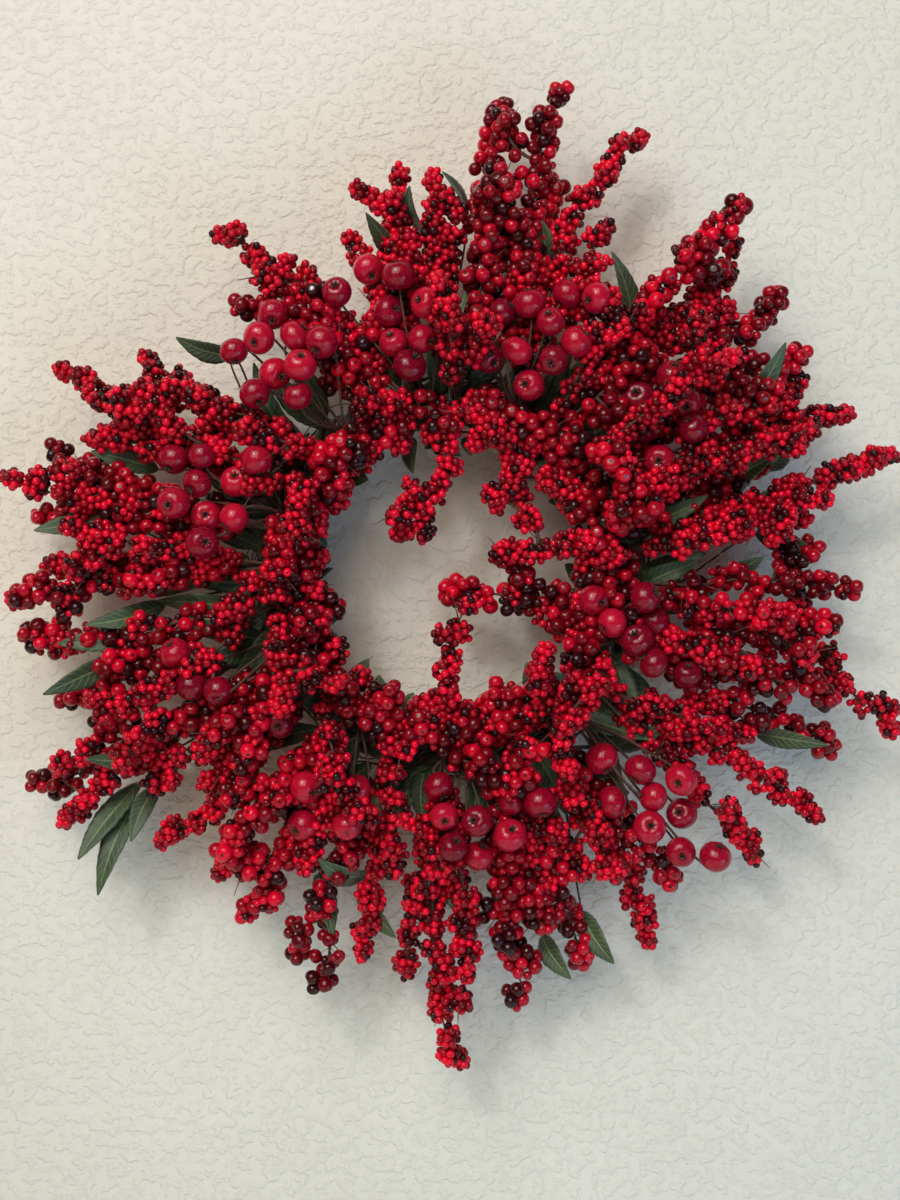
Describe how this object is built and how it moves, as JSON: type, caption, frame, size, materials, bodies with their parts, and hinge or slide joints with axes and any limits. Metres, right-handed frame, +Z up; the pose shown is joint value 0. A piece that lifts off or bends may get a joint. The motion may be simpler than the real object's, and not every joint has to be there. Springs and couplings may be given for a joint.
{
  "type": "red berry wreath",
  "caption": "Artificial wreath of red berry sprays, crab apples and dark leaves wired to a twisted vine ring that hangs from a wire loop.",
  "frame": {"origin": "inside top of the hanger loop, where the nail or hook bears", "axes": "+X to the right seen from the front, +Y towards the wall or door, +Z up; the wreath faces -Y"},
  "size_m": [0.6575, 0.1238, 0.7149],
  "materials": {
    "vine": "rough dark bark",
    "wire": "dull green florist's wire",
    "berry_fine": "glossy scarlet, a few nearly black",
    "berry_medium": "glossy deep red",
    "berry_mixed": "glossy red in two sizes",
    "crab_apple": "glossy crimson with pale flecks",
    "leaf": "printed dark green leaf cloth with paler veins"
  },
  "bodies": {
    "hanger": {"hanger_loop": "wire"},
    "wreath": {"hanger_eye": "wire", "vine_strand_1": "vine", "vine_strand_2": "vine", "vine_strand_3": "vine", "vine_strand_4": "vine", "binding_wire_1": "wire", "binding_wire_2": "wire", "binding_wire_3": "wire", "crab_apple_pick_01": "crab_apple", "crab_apple_pick_02": "crab_apple", "crab_apple_pick_03": "crab_apple", "crab_apple_pick_04": "crab_apple", "crab_apple_pick_05": "crab_apple", "crab_apple_pick_06": "crab_apple", "crab_apple_pick_07": "crab_apple", "crab_apple_pick_08": "crab_apple", "crab_apple_pick_09": "crab_apple", "crab_apple_pick_10": "crab_apple", "leaf_sprig_1": "leaf", "leaf_sprig_2": "leaf", "leaf_sprig_3": "leaf", "leaf_sprig_4": "leaf", "leaf_sprig_5": "leaf", "leaf_sprig_6": "leaf", "leaf_sprig_7": "leaf", "leaf_sprig_8": "leaf", "berry_pick_01": "berry_medium", "berry_pick_02": "berry_fine", "berry_pick_03": "berry_fine", "berry_pick_04": "berry_medium", "berry_pick_05": "berry_medium", "berry_pick_06": "berry_fine", "berry_pick_07": "berry_fine", "berry_pick_08": "berry_mixed", "berry_pick_09": "berry_fine", "berry_pick_10": "berry_medium", "berry_pick_11": "berry_medium", "berry_pick_12": "berry_mixed", "berry_pick_13": "berry_fine", "berry_pick_14": "berry_fine", "berry_pick_15": "berry_fine", "berry_pick_16": "berry_medium", "berry_pick_17": "berry_fine", "berry_pick_18": "berry_fine", "berry_pick_19": "berry_medium", "berry_pick_20": "berry_mixed", "berry_pick_21": "berry_fine", "berry_pick_22": "berry_fine", "berry_pick_23": "berry_fine"},
    "front_spray_1": {"front_spray_1": "berry_fine"},
    "front_spray_2": {"front_spray_2": "berry_fine"},
    "front_spray_3": {"front_spray_3": "berry_mixed"},
    "front_spray_4": {"front_spray_4": "berry_fine"},
    "front_spray_5": {"front_spray_5": "berry_fine"},
    "front_spray_6": {"front_spray_6": "berry_fine"},
    "front_spray_7": {"front_spray_7": "berry_fine"},
    "front_spray_8": {"front_spray_8": "berry_fine"}
  },
  "joints": [
    {"name": "hanger_hinge", "type": "hinge", "parent": "hanger", "child": "wreath", "pos_m": [0, -0.01041, -0.038], "axis": [1, 0, 0], "range_deg": [-8, 0]},
    {"name": "front_spray_1_bend", "type": "hinge", "parent": "wreath", "child": "front_spray_1", "pos_m": [0.00223, -0.057, -0.05761], "axis": [0.9996, 0, 0.0279], "range_deg": [0, 25]},
    {"name": "front_spray_2_bend", "type": "hinge", "parent": "wreath", "child": "front_spray_2", "pos_m": [0.0966, -0.057, -0.10161], "axis": [0.5256, 0, -0.8507], "range_deg": [0, 25]},
    {"name": "front_spray_3_bend", "type": "hinge", "parent": "wreath", "child": "front_spray_3", "pos_m": [0.1252, -0.057, -0.15897], "axis": [0.9512, 0, 0.3085], "range_deg": [0, 25]},
    {"name": "front_spray_4_bend", "type": "hinge", "parent": "wreath", "child": "front_spray_4", "pos_m": [0.11693, -0.057, -0.23765], "axis": [-0.9117, 0, 0.4109], "range_deg": [0, 25]},
    {"name": "front_spray_5_bend", "type": "hinge", "parent": "wreath", "child": "front_spray_5", "pos_m": [0.064, -0.057, -0.29644], "axis": [0.9969, 0, -0.0781], "range_deg": [0, 25]},
    {"name": "front_spray_6_bend", "type": "hinge", "parent": "wreath", "child": "front_spray_6", "pos_m": [-0.09512, -0.057, -0.27124], "axis": [-0.8886, 0, -0.4587], "range_deg": [0, 25]},
    {"name": "front_spray_7_bend", "type": "hinge", "parent": "wreath", "child": "front_spray_7", "pos_m": [-0.1252, -0.057, -0.2122], "axis": [-0.9974, 0, -0.0727], "range_deg": [0, 25]},
    {"name": "front_spray_8_bend", "type": "hinge", "parent": "wreath", "child": "front_spray_8", "pos_m": [-0.10735, -0.057, -0.11587], "axis": [-0.9938, 0, -0.1114], "range_deg": [0, 25]}
  ]
}
